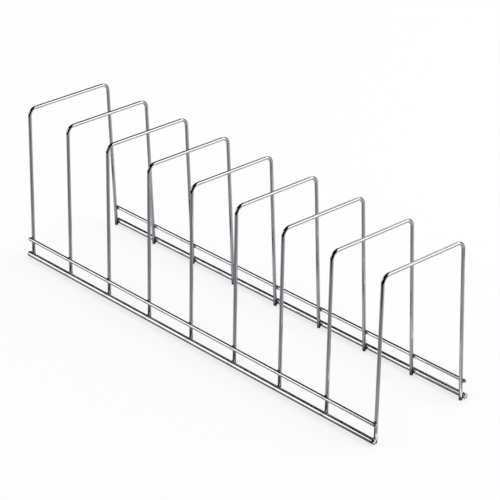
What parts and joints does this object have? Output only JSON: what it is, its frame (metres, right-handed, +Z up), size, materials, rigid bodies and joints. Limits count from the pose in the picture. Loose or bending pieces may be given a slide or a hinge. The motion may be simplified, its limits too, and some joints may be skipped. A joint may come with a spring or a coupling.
{
  "type": "plate rack",
  "caption": "Row of upright bent wire hoops welded to straight base rails, holding plates on edge in the gaps between them.",
  "frame": {"origin": "middle of the footprint, on the surface that the feet stand on", "axes": "+X along the row of hoops, +Y from the front to the back, +Z up"},
  "size_m": [0.438, 0.106, 0.143],
  "materials": {
    "hoop_wire": "bright chrome plating on drawn steel wire",
    "rail_wire": "bright chrome plating on drawn steel wire"
  },
  "bodies": {
    "root": {"hoop_1": "hoop_wire", "hoop_2": "hoop_wire", "hoop_3": "hoop_wire", "hoop_4": "hoop_wire", "hoop_5": "hoop_wire", "hoop_6": "hoop_wire", "hoop_7": "hoop_wire", "hoop_8": "hoop_wire", "hoop_9": "hoop_wire", "front_upper_rail": "rail_wire", "front_lower_rail": "rail_wire", "rear_upper_rail": "rail_wire", "rear_lower_rail": "rail_wire"}
  },
  "joints": []
}
